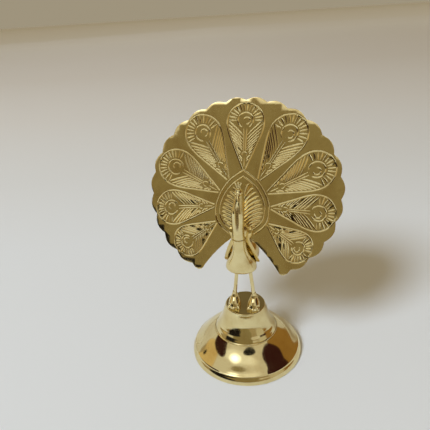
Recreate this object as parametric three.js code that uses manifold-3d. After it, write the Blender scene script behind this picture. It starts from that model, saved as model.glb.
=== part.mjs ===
// A brass dancing peacock on a hollow bell base. Millimetres, +Z up, and the bird faces -Y.
// The origin is the centre of the base's rim, on the surface that it stands on.
// Left and right are the bird's own, so its left side is +X.
import * as THREE from "three";
import { mergeVertices } from "three/addons/utils/BufferGeometryUtils.js";
import Module from "manifold-3d";

// Bell base: a spun shell with an open underside and a flat round top.
const BASE_RADIUS = 34;
const BASE_HEIGHT = 33;
const BASE_WALL = 1.6;
const RIM_WIDTH = 2.4;
const BAND_HEIGHT = 4.8;
const BAND_SLOPE = 1.8;
const DOME_CROWN = 0.9;
const GROOVE_RADIUS = 18.8;
const GROOVE_HEIGHT = 16.5;
const TOP_RADIUS = 12;
const TOP_ROUND = 0.6;
const TOP_THICKNESS = 2;

// Legs: brass rods that pass through the feet and the top of the base, and end in nuts.
const LEG_RADIUS = 1.1;
const LEG_HEIGHT = 29.4;
const FOOT_INSET = 6.4;
const HIP_SPREAD = 3.9;
const LEG_Y = -2;
const LEG_IN_BODY = 5;
const LEG_PAST_NUT = 1.2;
const WASHER_RADIUS = 3;
const WASHER_THICKNESS = 0.6;
const NUT_ACROSS_FLATS = 5;
const NUT_THICKNESS = 2.2;

// Feet: a domed ankle with three front toes and a raised hind toe.
const ANKLE_RADIUS = 2.7;
const ANKLE_HEIGHT = 6.4;
const TOE_RADIUS = 1.15;
const TOE_CENTRE_GAP = 1.7;
const TOE_FAN = 0.55;
const HIND_TOE_LENGTH = 4.2;
const HIND_TOE_RISE = 3.6;

// Body: a chest that flares to a rim like a skirt, a rounded rump, and a hump that takes the tail.
const BODY_HEIGHT = 21.6;
const CHEST_WIDTH = 17.8;
const RUMP_WIDTH = 14.4;
const RUMP_LENGTH = 21;
const RUMP_DEPTH = 14;
const RUMP_Y = 0.4;
const HUMP_WIDTH = 7.4;
const HUMP_LENGTH = 8.8;
const HUMP_HEIGHT = 9.4;

// Neck, head and crest.
const NECK_RISE = 22.5;
const NECK_Y = -12.6;
const NECK_HALF_WIDTH = 3.7;
const HEAD_RADIUS = 2.3;
const HEAD_Y = -10.2;
const BEAK_LENGTH = 4.6;
const BEAK_RADIUS = 1.1;
const BEAK_DROOP = 0.18;
const TENON_RADIUS = 1.6;
const TENON_LENGTH = 3;
const CREST_HEIGHT = 5;
const CREST_FAN = 0.42;
const PLUME_RADIUS = 0.5;
const CREST_ROOT_RADIUS = 0.8;
const CREST_ROOT_LENGTH = 1.8;

// Wings: thin leaves fixed to the sides of the body.
const WING_THICKNESS = 1.5;

// Tail: a flat scalloped sheet, leaning back, with a notch that straddles the body. Its own
// heights are measured up the sheet from its screw, which stands a little above the neck's seat.
const TAIL_LEAN = THREE.MathUtils.degToRad(23);
const TAIL_SCREW_Y = -2.5;
const TAIL_SCREW_RISE = 1.6;
const TAIL_THICKNESS = 1.1;
const TAIL_HALF_WIDTH = 53.8;
const TAIL_HALF_HEIGHT = 50.8;
const TAIL_CENTRE = 20.1;
const SCALLOPS_AROUND = 27;
const SCALLOPS_PER_SIDE = 11;
const SCALLOP_DEPTH = 1.7;
const NOTCH_DROP = 6.2;
const NOTCH_TOP_HALF_WIDTH = 5.4;
const NOTCH_BOW = 1;
const TAIL_TIP_ROUND = 2.4;
const TAIL_SEAT_BELOW_NOTCH = 4;
const SCREW_RADIUS = 1.2;
const SCREW_GRIP = 4;
const SCREW_HEAD_RADIUS = 2.7;
const SCREW_HEAD_HEIGHT = 1.7;
const SCREW_SLOT_WIDTH = 0.7;
const SCREW_SLOT_DEPTH = 0.8;
const TAIL_WASHER_RADIUS = 3.4;

// Clearances.
const SEAT_GAP = 0.3;
const BORE_GAP = 0.18;
const FACE_GAP = 0.05;

const FULL_TURN = Math.PI * 2;
const QUARTER_TURN = Math.PI / 2;

const wasm = await Module();
wasm.setup();

// What follows from the sizes above.
const bodyBottom = BASE_HEIGHT + LEG_HEIGHT;
const neckSeat = bodyBottom + BODY_HEIGHT;
const neckSeatY = NECK_Y + 0.7;
const headCentre = neckSeat + NECK_RISE + HEAD_RADIUS;
const topPlateUnder = BASE_HEIGHT - TOP_THICKNESS;
const washerUnder = topPlateUnder - WASHER_THICKNESS;
const nutUnder = washerUnder - NUT_THICKNESS;
const screwHeight = neckSeat + TAIL_SCREW_RISE;
const footSpread = TOP_RADIUS - FOOT_INSET;
const toeLength = (footSpread - TOE_RADIUS - TOE_CENTRE_GAP) / Math.sin(TOE_FAN);
const neckSeatHalfWidth = NECK_HALF_WIDTH * 1.08;

// A closed geometry as a solid that can be joined and cut.
function solid(geometry) {
  const bare = geometry.clone();
  bare.deleteAttribute("normal");
  bare.deleteAttribute("uv");
  const merged = mergeVertices(bare, 1e-4);
  return new wasm.Manifold(
    new wasm.Mesh({
      numProp: 3,
      vertProperties: merged.attributes.position.array,
      triVerts: new Uint32Array(merged.index.array),
    }),
  );
}

// A solid back as a geometry.
function shell(made) {
  const mesh = made.getMesh();
  const geometry = new THREE.BufferGeometry();
  geometry.setAttribute("position", new THREE.BufferAttribute(mesh.vertProperties, 3));
  geometry.setIndex(new THREE.BufferAttribute(mesh.triVerts, 1));
  const flat = geometry.toNonIndexed();
  flat.computeVertexNormals();
  return flat;
}

// A profile of radii and heights turned about the Z axis.
function turned(profile, sides) {
  const points = profile.map(([radius, height]) => new THREE.Vector2(radius, height));
  return new THREE.LatheGeometry(points, sides).rotateX(QUARTER_TURN);
}

// An upright rod from one height to another.
function rod(radius, bottom, top, sides = 16) {
  const length = top - bottom;
  return new THREE.CylinderGeometry(radius, radius, length, sides)
    .rotateX(QUARTER_TURN)
    .translate(0, 0, bottom + length / 2);
}

function ellipsoid(halfX, halfY, halfZ, y, z, grow = 0) {
  return new THREE.SphereGeometry(1, 20, 12)
    .rotateX(QUARTER_TURN)
    .scale(halfX + grow, halfY + grow, halfZ + grow)
    .translate(0, y, z);
}

// A closed skin over oval rings. Each section is [y, z, tilt, half width, half depth];
// the rings between them follow a smooth curve, and each ring stands square to the tilt.
function loft(sections, ringCount, sides, grow = 0) {
  const fields = sections[0].length;
  const steps = sections.map((section, i) => i);
  const between = new THREE.CubicInterpolant(steps, sections.flat(), fields, new Float32Array(fields));
  const positions = [];
  for (let ring = 0; ring <= ringCount; ring++) {
    const [y, z, tilt, halfWidth, halfDepth] = between.evaluate((ring / ringCount) * (sections.length - 1));
    for (let side = 0; side < sides; side++) {
      const angle = (side / sides) * FULL_TURN;
      const along = (halfDepth + grow) * Math.sin(angle);
      const across = (halfWidth + grow) * Math.cos(angle);
      positions.push(across, y + along * Math.cos(tilt), z + along * Math.sin(tilt));
    }
  }
  const [bottom, top] = [sections[0], sections[sections.length - 1]];
  positions.push(0, bottom[0], bottom[1], 0, top[0], top[1]);
  return skinOver(positions, ringCount, sides);
}

// The faces between the rings, and a fan of faces over each end.
function skinOver(positions, ringCount, sides) {
  const index = [];
  const bottomCentre = (ringCount + 1) * sides;
  const last = ringCount * sides;
  for (let side = 0; side < sides; side++) {
    const next = (side + 1) % sides;
    index.push(bottomCentre, next, side);
    index.push(bottomCentre + 1, last + side, last + next);
    for (let ring = 0; ring < ringCount; ring++) {
      const lower = ring * sides;
      const upper = lower + sides;
      index.push(lower + side, lower + next, upper + next);
      index.push(lower + side, upper + next, upper + side);
    }
  }
  const geometry = new THREE.BufferGeometry();
  geometry.setAttribute("position", new THREE.Float32BufferAttribute(positions, 3));
  geometry.setIndex(index);
  return geometry;
}

// Moves a geometry made in the tail's own plane, where y is its thickness and z runs up the sheet.
function leanWithTail(geometry) {
  return geometry.rotateX(-TAIL_LEAN).translate(0, TAIL_SCREW_Y, screwHeight);
}

function brass(colour, roughness) {
  return new THREE.MeshStandardMaterial({ color: colour, roughness, metalness: 1 });
}

const polished = brass(0xd8bd6a, 0.1);
const satin = brass(0xb39a4e, 0.22);
const plain = brass(0xa98f4a, 0.4);

function piece(name, geometry, material) {
  const mesh = new THREE.Mesh(geometry, material);
  mesh.name = name;
  return mesh;
}

// Points along the outside of the base, from the rim up to the top plate.
function baseOutside() {
  const bandTop = BASE_RADIUS - BAND_SLOPE;
  const dome = [];
  const rise = GROOVE_HEIGHT - BAND_HEIGHT;
  const run = bandTop - GROOVE_RADIUS;
  const domeSteps = 6;
  for (let i = 0; i <= domeSteps; i++) {
    const t = i / domeSteps;
    const crown = DOME_CROWN * Math.sin(Math.PI * t);
    dome.push([bandTop - run * t + crown * rise / run, BAND_HEIGHT + rise * t + crown]);
  }
  const stem = [];
  const waist = GROOVE_RADIUS - TOP_RADIUS;
  const stemHeight = BASE_HEIGHT - TOP_ROUND - GROOVE_HEIGHT;
  const stemSteps = 8;
  for (let i = 1; i <= stemSteps; i++) {
    const t = i / stemSteps;
    const flare = 0.56 * Math.exp(-6 * t) + 0.44 * (1 - t);
    stem.push([TOP_RADIUS + waist * flare, GROOVE_HEIGHT + stemHeight * t]);
  }
  return [[BASE_RADIUS, 0], ...dome, ...stem, [TOP_RADIUS - TOP_ROUND, BASE_HEIGHT]];
}

function baseBell() {
  const outside = baseOutside();
  const inside = outside
    .slice(1, -1)
    .filter(([, height]) => height < topPlateUnder - BASE_WALL)
    .map(([radius, height]) => [radius - BASE_WALL * 1.25, Math.max(height - BASE_WALL * 0.5, BASE_WALL)])
    .reverse();
  const ceiling = [inside[0][0], topPlateUnder];
  const profile = [
    [BASE_RADIUS - RIM_WIDTH, 0],
    ...outside,
    [0, BASE_HEIGHT],
    [0, topPlateUnder],
    ceiling,
    ...inside,
    [BASE_RADIUS - RIM_WIDTH, 0],
  ];
  let made = solid(turned(profile, 48));
  for (const side of [-1, 1]) {
    const hole = rod(LEG_RADIUS + BORE_GAP, topPlateUnder - 1, BASE_HEIGHT + 1);
    made = made.subtract(solid(hole.translate(side * footSpread, LEG_Y, 0)));
  }
  return piece("base_bell", shell(made), polished);
}

// The centre line of a leg: upright through the base, then drawn in a little to the hip.
function legLine(side) {
  const bottom = nutUnder - LEG_PAST_NUT;
  const top = bodyBottom + LEG_IN_BODY;
  return new THREE.CatmullRomCurve3([
    new THREE.Vector3(side * footSpread, LEG_Y, bottom),
    new THREE.Vector3(side * footSpread, LEG_Y, BASE_HEIGHT),
    new THREE.Vector3(side * footSpread, LEG_Y, BASE_HEIGHT + ANKLE_HEIGHT),
    new THREE.Vector3(side * (footSpread + HIP_SPREAD) * 0.5, LEG_Y, BASE_HEIGHT + LEG_HEIGHT * 0.6),
    new THREE.Vector3(side * HIP_SPREAD, LEG_Y, bodyBottom),
    new THREE.Vector3(side * HIP_SPREAD, LEG_Y, top),
  ]);
}

function leg(name, side) {
  const round = new THREE.Shape().absarc(0, 0, LEG_RADIUS, 0, FULL_TURN);
  const options = { extrudePath: legLine(side), steps: 16, curveSegments: 5 };
  return piece(name, new THREE.ExtrudeGeometry(round, options), polished);
}

function legWasher(name, side) {
  const inner = LEG_RADIUS + BORE_GAP;
  const profile = [
    [inner, washerUnder],
    [WASHER_RADIUS, washerUnder],
    [WASHER_RADIUS, topPlateUnder],
    [inner, topPlateUnder],
    [inner, washerUnder],
  ];
  const made = turned(profile, 24);
  return piece(name, made.translate(side * footSpread, LEG_Y, 0), plain);
}

function legNut(name, side) {
  const hexagon = rod(NUT_ACROSS_FLATS / Math.sqrt(3), nutUnder, washerUnder, 6);
  const bore = rod(LEG_RADIUS + BORE_GAP, nutUnder - 1, washerUnder + 1);
  const made = shell(solid(hexagon).subtract(solid(bore)));
  return piece(name, made.translate(side * footSpread, LEG_Y, 0), plain);
}

// A toe: a rounded finger that runs out along the top of the base.
function toe(length, heading) {
  const finger = new THREE.CapsuleGeometry(TOE_RADIUS, length, 3, 8)
    .translate(0, -length / 2, 0)
    .rotateZ(heading)
    .translate(0, -ANKLE_RADIUS * 0.4, BASE_HEIGHT + TOE_RADIUS * 0.8);
  return solid(finger);
}

function foot(name, side) {
  const ankle = turned(
    [
      [0, BASE_HEIGHT],
      [ANKLE_RADIUS, BASE_HEIGHT],
      [ANKLE_RADIUS, BASE_HEIGHT + ANKLE_HEIGHT * 0.35],
      [ANKLE_RADIUS * 0.82, BASE_HEIGHT + ANKLE_HEIGHT * 0.6],
      [LEG_RADIUS * 1.6, BASE_HEIGHT + ANKLE_HEIGHT],
      [0, BASE_HEIGHT + ANKLE_HEIGHT],
    ],
    20,
  );
  let made = solid(ankle);
  for (const heading of [-TOE_FAN, 0, TOE_FAN]) {
    made = made.add(toe(toeLength, heading));
  }
  const hindLine = new THREE.LineCurve3(
    new THREE.Vector3(0, 0, BASE_HEIGHT + TOE_RADIUS),
    new THREE.Vector3(side * 0.8, HIND_TOE_LENGTH, BASE_HEIGHT + HIND_TOE_RISE),
  );
  const knob = new THREE.SphereGeometry(TOE_RADIUS, 10, 6).translate(...hindLine.v2.toArray());
  const round = new THREE.Shape().absarc(0, 0, TOE_RADIUS * 0.8, 0, FULL_TURN);
  const hind = new THREE.ExtrudeGeometry(round, { extrudePath: hindLine, steps: 1, curveSegments: 4 });
  made = made.add(solid(hind)).add(solid(knob));
  const below = rod(TOP_RADIUS, BASE_HEIGHT - 4 * TOE_RADIUS, BASE_HEIGHT, 8);
  const bore = rod(LEG_RADIUS + BORE_GAP, BASE_HEIGHT - 1, BASE_HEIGHT + ANKLE_HEIGHT + 1);
  made = made.subtract(solid(below)).subtract(solid(bore));
  return piece(name, shell(made).translate(side * footSpread, LEG_Y, 0), polished);
}

// The chest: oval rings from the open rim of the skirt up to the seat of the neck.
function chest(grow) {
  const half = CHEST_WIDTH / 2;
  const sections = [
    [-7.6, bodyBottom, 0, half * 0.9, 6.6],
    [-7.8, bodyBottom + BODY_HEIGHT * 0.06, 0, half * 0.985, 7.5],
    [-8.1, bodyBottom + BODY_HEIGHT * 0.18, 0, half, 7.7],
    [-9, bodyBottom + BODY_HEIGHT * 0.4, 0, half * 0.84, 6.4],
    [-10.2, bodyBottom + BODY_HEIGHT * 0.65, 0, half * 0.67, 5],
    [-11.3, bodyBottom + BODY_HEIGHT * 0.85, 0, half * 0.55, 4.1],
    [neckSeatY, neckSeat, 0, neckSeatHalfWidth + SEAT_GAP, 3.6],
  ];
  return loft(sections, 14, 24, grow);
}

function rump(grow) {
  const y = RUMP_Y;
  const z = bodyBottom + RUMP_DEPTH / 2 - 0.6;
  return ellipsoid(RUMP_WIDTH / 2, RUMP_LENGTH / 2, RUMP_DEPTH / 2, y, z, grow);
}

function hump(grow) {
  const halfHeight = HUMP_HEIGHT / 2;
  const halfLength = HUMP_LENGTH / 2;
  return ellipsoid(HUMP_WIDTH / 2, halfLength, halfHeight, TAIL_SCREW_Y - halfLength, screwHeight, grow);
}

// The space that the tail takes: all behind its front face, from a little below the notch's top.
function behindTail(gap) {
  const size = 60;
  const front = -TAIL_THICKNESS / 2 - gap;
  const bottom = -NOTCH_DROP - TAIL_SEAT_BELOW_NOTCH - gap;
  const block = new THREE.BoxGeometry(size, size, size).translate(0, front + size / 2, bottom + size / 2);
  return solid(leanWithTail(block));
}

function bodyMass(grow, tailGap) {
  const made = solid(chest(grow)).add(solid(rump(grow))).add(solid(hump(grow)));
  return made.subtract(behindTail(tailGap));
}

function body() {
  const under = rod(CHEST_WIDTH * 2, bodyBottom - RUMP_DEPTH, bodyBottom, 8);
  let made = bodyMass(0, SEAT_GAP).subtract(solid(under));
  made = made.subtract(neckMass(SEAT_GAP, -SEAT_GAP));
  const tenonSocket = rod(TENON_RADIUS + BORE_GAP, neckSeat - TENON_LENGTH - SEAT_GAP, neckSeat + 1);
  made = made.subtract(solid(tenonSocket.translate(0, neckSeatY, 0)));
  for (const side of [-1, 1]) {
    const socket = rod(LEG_RADIUS + BORE_GAP, bodyBottom - 1, bodyBottom + LEG_IN_BODY + SEAT_GAP);
    made = made.subtract(solid(socket.translate(side * HIP_SPREAD, LEG_Y, 0)));
  }
  const threaded = rod(SCREW_RADIUS + BORE_GAP, -SCREW_GRIP, SCREW_GRIP)
    .rotateX(QUARTER_TURN)
    .translate(0, -TAIL_THICKNESS / 2, 0);
  made = made.subtract(solid(leanWithTail(threaded)));
  return piece("body", shell(made), polished);
}

// The neck's rings, from its seat on the body up to the back of the head.
function neckMass(grow, lift = 0) {
  const rise = NECK_RISE;
  const half = NECK_HALF_WIDTH;
  const sections = [
    [neckSeatY, neckSeat + lift, 0, neckSeatHalfWidth, 3.5],
    [NECK_Y, neckSeat + rise * 0.22, -0.02, half, 3.3],
    [NECK_Y - 0.2, neckSeat + rise * 0.5, 0.06, half * 0.86, 3],
    [NECK_Y + 0.5, neckSeat + rise * 0.78, 0.2, half * 0.62, 2.4],
    [HEAD_Y - 0.2, neckSeat + rise, 0.35, half * 0.5, 2.1],
    [HEAD_Y, headCentre, 0.35, half * 0.45, 1.8],
  ];
  return solid(loft(sections, 12, 16, grow));
}

function neckAndHead() {
  const head = ellipsoid(HEAD_RADIUS, HEAD_RADIUS * 1.3, HEAD_RADIUS * 1.05, HEAD_Y, headCentre);
  const beak = new THREE.ConeGeometry(BEAK_RADIUS, BEAK_LENGTH, 12)
    .rotateX(Math.PI + BEAK_DROOP)
    .translate(0, HEAD_Y - HEAD_RADIUS * 1.1 - BEAK_LENGTH * 0.32, headCentre - 0.2);
  const tenon = rod(TENON_RADIUS, neckSeat - TENON_LENGTH, neckSeat + 1).translate(0, neckSeatY, 0);
  const socket = rod(CREST_ROOT_RADIUS + BORE_GAP, headCentre, headCentre + 2 * HEAD_RADIUS);
  const made = neckMass(0)
    .add(solid(head))
    .add(solid(beak))
    .add(solid(tenon))
    .subtract(solid(socket.translate(0, HEAD_Y, 0)));
  return piece("neck_head", shell(made), polished);
}

// The crest: three plumes that spread from one root, set in the top of the head.
function crest() {
  const rootBottom = headCentre + SEAT_GAP;
  const rootTop = rootBottom + CREST_ROOT_LENGTH;
  const plumeLength = CREST_HEIGHT - 2 * PLUME_RADIUS;
  let made = solid(rod(CREST_ROOT_RADIUS, rootBottom, rootTop, 14));
  for (const lean of [-CREST_FAN, 0, CREST_FAN]) {
    const plume = new THREE.CapsuleGeometry(PLUME_RADIUS, plumeLength, 3, 8)
      .rotateX(QUARTER_TURN)
      .translate(0, 0, plumeLength / 2)
      .rotateY(lean)
      .translate(0, 0, rootTop - PLUME_RADIUS);
    made = made.add(solid(plume));
  }
  return piece("crest", shell(made).translate(0, HEAD_Y, 0), polished);
}

// The side view of a wing, as y and z: a leaf from the shoulder down to a tip over the rump.
function wingOutline() {
  const low = bodyBottom + 2.6;
  const leaf = new THREE.Shape();
  leaf.moveTo(-8, neckSeat + 5);
  leaf.bezierCurveTo(-12.5, neckSeat + 2, -11.5, low + 14, -10, low + 8);
  leaf.bezierCurveTo(-9, low + 4, -6, low, -3.6, low);
  leaf.bezierCurveTo(1, low + 1, 4.6, low + 3, 4.4, low + 6);
  leaf.bezierCurveTo(3, low + 10, -1, neckSeat - 6, -3, neckSeat);
  leaf.bezierCurveTo(-3.4, neckSeat + 3, -5, neckSeat + 5, -8, neckSeat + 5);
  return leaf;
}

function wing(name, side) {
  const depth = CHEST_WIDTH;
  const leaf = new THREE.ExtrudeGeometry(wingOutline(), { depth, bevelEnabled: false, curveSegments: 8 })
    .rotateY(QUARTER_TURN)
    .rotateX(QUARTER_TURN);
  leaf.translate(side > 0 ? 2.6 : -2.6 - depth, 0, 0);
  const skin = bodyMass(SEAT_GAP + WING_THICKNESS, SEAT_GAP).subtract(bodyMass(SEAT_GAP, 0));
  const made = skin.intersect(solid(leaf)).subtract(neckMass(2 * SEAT_GAP, -2 * SEAT_GAP));
  return piece(name, shell(made), satin);
}

// A point on the tail's scalloped edge, where turns counts scallops from the top.
function tailEdge(turns, side) {
  const angle = QUARTER_TURN - side * turns * (FULL_TURN / SCALLOPS_AROUND);
  const cos = Math.cos(angle);
  const sin = Math.sin(angle);
  const oval = 1 / Math.hypot(cos / TAIL_HALF_WIDTH, sin / TAIL_HALF_HEIGHT);
  const radius = oval - SCALLOP_DEPTH * (1 - Math.abs(Math.sin(Math.PI * turns)));
  return new THREE.Vector2(radius * cos, TAIL_CENTRE + radius * sin);
}

// One half of the tail's outline, from the top of the sheet round to the top of the notch.
function tailHalf(side) {
  const points = [];
  const perScallop = 5;
  for (let i = 0; i <= SCALLOPS_PER_SIDE * perScallop + 1; i++) {
    points.push(tailEdge(i / perScallop, side));
  }
  const last = points[points.length - 1];
  const tip = tailEdge(SCALLOPS_PER_SIDE + 0.5, side);
  const top = new THREE.Vector2(side * NOTCH_TOP_HALF_WIDTH, -NOTCH_DROP);
  const run = top.clone().sub(tip);
  const start = tip.clone().addScaledVector(run, TAIL_TIP_ROUND / run.length());
  const outward = new THREE.Vector2(side * run.y, -side * run.x).normalize();
  const middle = start.clone().add(top).multiplyScalar(0.5).addScaledVector(outward, 2 * NOTCH_BOW);
  const corner = new THREE.QuadraticBezierCurve(last, tip, start);
  const edge = new THREE.QuadraticBezierCurve(start, middle, top);
  return points.concat(corner.getPoints(5).slice(1), edge.getPoints(6).slice(1));
}

function tailOutline() {
  const right = tailHalf(1);
  const left = tailHalf(-1).slice(1).reverse();
  return new THREE.Shape([...right, ...left]);
}

// A flat shape given its thickness along the tail's y axis, centred on its plane.
function sheet(shape, thickness) {
  return new THREE.ExtrudeGeometry(shape, { depth: thickness, bevelEnabled: false })
    .rotateX(QUARTER_TURN)
    .translate(0, thickness / 2, 0);
}

function tailFan() {
  const plate = sheet(tailOutline(), TAIL_THICKNESS);
  const hole = rod(SCREW_RADIUS + BORE_GAP, -TAIL_THICKNESS, TAIL_THICKNESS).rotateX(QUARTER_TURN);
  return piece("tail_fan", shell(solid(plate).subtract(solid(hole))), satin);
}

function tailWasher() {
  const bottom = TAIL_THICKNESS / 2 + FACE_GAP;
  const top = bottom + WASHER_THICKNESS;
  const inner = SCREW_RADIUS + BORE_GAP;
  const profile = [
    [inner, bottom],
    [TAIL_WASHER_RADIUS, bottom],
    [TAIL_WASHER_RADIUS, top],
    [inner, top],
    [inner, bottom],
  ];
  return piece("tail_washer", turned(profile, 24).rotateX(-QUARTER_TURN), plain);
}

// The tail screw goes in from behind: a slotted head, then a shank that ends inside the hump.
function tailScrew() {
  const seat = TAIL_THICKNESS / 2 + WASHER_THICKNESS + 2 * FACE_GAP;
  const headTop = seat + SCREW_HEAD_HEIGHT;
  const tip = -TAIL_THICKNESS / 2 - SCREW_GRIP + SEAT_GAP;
  const profile = [
    [0, tip],
    [SCREW_RADIUS * 0.7, tip],
    [SCREW_RADIUS, tip + SCREW_RADIUS * 0.4],
    [SCREW_RADIUS, seat],
    [SCREW_HEAD_RADIUS, seat],
    [SCREW_HEAD_RADIUS, seat + SCREW_HEAD_HEIGHT * 0.5],
    [SCREW_HEAD_RADIUS * 0.7, headTop],
    [0, headTop],
  ];
  const slot = new THREE.BoxGeometry(3 * SCREW_HEAD_RADIUS, SCREW_SLOT_WIDTH, 2 * SCREW_SLOT_DEPTH);
  const made = solid(turned(profile, 20)).subtract(solid(slot.translate(0, 0, headTop)));
  return piece("tail_screw", shell(made).rotateX(-QUARTER_TURN), plain);
}

function tail() {
  const group = new THREE.Group();
  group.position.set(0, TAIL_SCREW_Y, screwHeight);
  group.rotation.x = -TAIL_LEAN;
  group.add(tailFan(), tailWasher(), tailScrew());
  return group;
}

const peacock = new THREE.Group();
peacock.add(baseBell());
for (const [word, side] of [["left", 1], ["right", -1]]) {
  peacock.add(foot("foot_" + word, side));
  peacock.add(leg("leg_" + word, side));
  peacock.add(legWasher("leg_washer_" + word, side));
  peacock.add(legNut("leg_nut_" + word, side));
  peacock.add(wing("wing_" + word, side));
}
peacock.add(body(), neckAndHead(), crest(), tail());

export default peacock;
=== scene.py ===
# A small brass ornament: a dancing peacock on a hollow bell base, its chased tail fan raised behind it.
# Metres, +Z up, the bird faces -Y. Sizes are written in millimetres and times MM.
import math

import bpy
from mathutils import Matrix, Vector


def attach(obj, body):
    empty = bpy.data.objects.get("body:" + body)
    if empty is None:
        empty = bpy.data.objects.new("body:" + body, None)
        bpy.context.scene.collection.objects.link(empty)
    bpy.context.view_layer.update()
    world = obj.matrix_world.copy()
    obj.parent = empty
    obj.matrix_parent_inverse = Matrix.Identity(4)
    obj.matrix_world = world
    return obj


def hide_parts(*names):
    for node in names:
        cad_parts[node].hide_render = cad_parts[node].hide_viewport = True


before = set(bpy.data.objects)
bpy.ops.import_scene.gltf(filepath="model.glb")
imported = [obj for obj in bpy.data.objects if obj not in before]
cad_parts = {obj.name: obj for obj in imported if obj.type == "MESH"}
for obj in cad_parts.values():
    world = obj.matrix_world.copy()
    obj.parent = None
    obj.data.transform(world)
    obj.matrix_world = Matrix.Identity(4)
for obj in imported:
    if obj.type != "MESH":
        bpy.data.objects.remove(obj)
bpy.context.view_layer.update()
MM = 0.001


# --- The camera: a little to the bird's left of straight ahead, looking down at 25 degrees. ---
# Where it stands, and which way its right, its top and its back point.
CAMERA_PLACE = (40.5, -210.1, 193.4)
CAMERA_RIGHT = (0.9715, 0.2296, -0.0593)
CAMERA_UP = (-0.0459, 0.4274, 0.9029)
CAMERA_BACK = (0.2327, -0.8744, 0.4257)
bpy.ops.object.select_all(action="DESELECT")
bpy.ops.object.camera_add()
camera = bpy.context.object
camera.name = "front_view"
camera.data.lens = 36
camera.data.sensor_width = 36
camera.data.clip_start = 0.01
turned = Matrix((CAMERA_RIGHT, CAMERA_UP, CAMERA_BACK)).transposed().to_4x4()
camera.matrix_world = Matrix.Translation(Vector(CAMERA_PLACE) * MM) @ turned
bpy.context.scene.camera = camera


# --- The bell base: a spun and turned brass shell, open underneath, polished to a mirror. ---
# It has a flat round top for the feet, two fine turned grooves close together, and a rolled foot band
# with a shallow flare above it. All else stands on it.
BASE_RADIUS = 34
BASE_HEIGHT = 33
FOOT_BAND_TOP = (32.2, 4.8)
BAND_BULGE = 0.35
FOOT_BEVEL = 0.35
GROOVE_PLACE = (18.8, 16.5)
TOP_RADIUS = 12
TOP_PLATE_UNDER = 31
WALL = 1.6
DOME_CROWN = 0.75
DOME_FLARE = 0.8
FLARE_WIDTH = 0.25
GROOVE_DEPTH = 0.2
BELL_NECK = (
    (18.5, 17.1), (17.35, 19.0), (16.7, 20.1), (15.45, 22.5),
    (14.4, 25.0), (13.6, 27.5), (12.9, 30.0), (12.02, 32.4),
)
DOME_STEPS = 26
TOP_EDGE = 0.6
BASE_SIDES = 160
AXIS = 0.02
TURNING_MARK = 0.45
BRASS = (0.85, 0.73, 0.39, 1)
DULL_BRASS = (0.70, 0.54, 0.24, 1)


def put_down_everything():
    """Nothing stays selected, because an operator acts on all that is."""
    if bpy.context.mode != "OBJECT":
        bpy.ops.object.mode_set(mode="OBJECT")
    bpy.ops.object.select_all(action="DESELECT")


def take_up(*pieces):
    """Only these pieces are selected, and the first is the active one."""
    put_down_everything()
    for one in pieces:
        one.select_set(True)
    bpy.context.view_layer.objects.active = pieces[0]


def finish_with(piece, kind, **settings):
    """Puts a modifier on the piece and applies it."""
    take_up(piece)
    bpy.ops.object.modifier_add(type=kind)
    modifier = piece.modifiers[-1]
    for name, value in settings.items():
        setattr(modifier, name, value)
    bpy.ops.object.modifier_apply(modifier=modifier.name)


def skin_over_rings(name, rings, sides):
    """A closed skin drawn up ring by ring. A ring is x, y, z, half width, half depth, tilt."""
    put_down_everything()
    bpy.ops.mesh.primitive_circle_add(vertices=sides, radius=MM, fill_type="NGON")
    skin = bpy.context.object
    skin.name = name
    bpy.ops.object.mode_set(mode="EDIT")
    bpy.ops.mesh.select_all(action="SELECT")
    x, y, z, wide, deep, tilt = 0, 0, 0, 1, 1, 0
    for number, ring in enumerate(rings):
        old_centre, centre = Vector((x, y, z)) * MM, Vector(ring[:3]) * MM
        step = {"value": centre - old_centre}
        if number:
            bpy.ops.mesh.extrude_region_move(TRANSFORM_OT_translate=step)
        else:
            bpy.ops.transform.translate(**step)
        if tilt:
            bpy.ops.transform.rotate(value=tilt, orient_axis="X", center_override=centre)
        growth = (ring[3] / wide, ring[4] / deep, 1)
        bpy.ops.transform.resize(value=growth, center_override=centre)
        x, y, z, wide, deep, tilt = ring
        if tilt:
            bpy.ops.transform.rotate(value=-tilt, orient_axis="X", center_override=centre)
    bpy.ops.mesh.select_all(action="SELECT")
    bpy.ops.mesh.normals_make_consistent(inside=False)
    bpy.ops.object.mode_set(mode="OBJECT")
    return skin


def smooth(piece, degrees=35):
    take_up(piece)
    bpy.ops.object.shade_smooth_by_angle(angle=math.radians(degrees))


def finished(piece, material, slot, *nodes):
    """Gives the piece its metal, and hides the nodes it stands for. The slot argument is not used."""
    piece.data.materials.clear()
    piece.data.materials.append(material)
    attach(piece, "root")
    if nodes:
        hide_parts(*nodes)


def link(material, a, b):
    material.node_tree.links.new(a, b)


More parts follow.
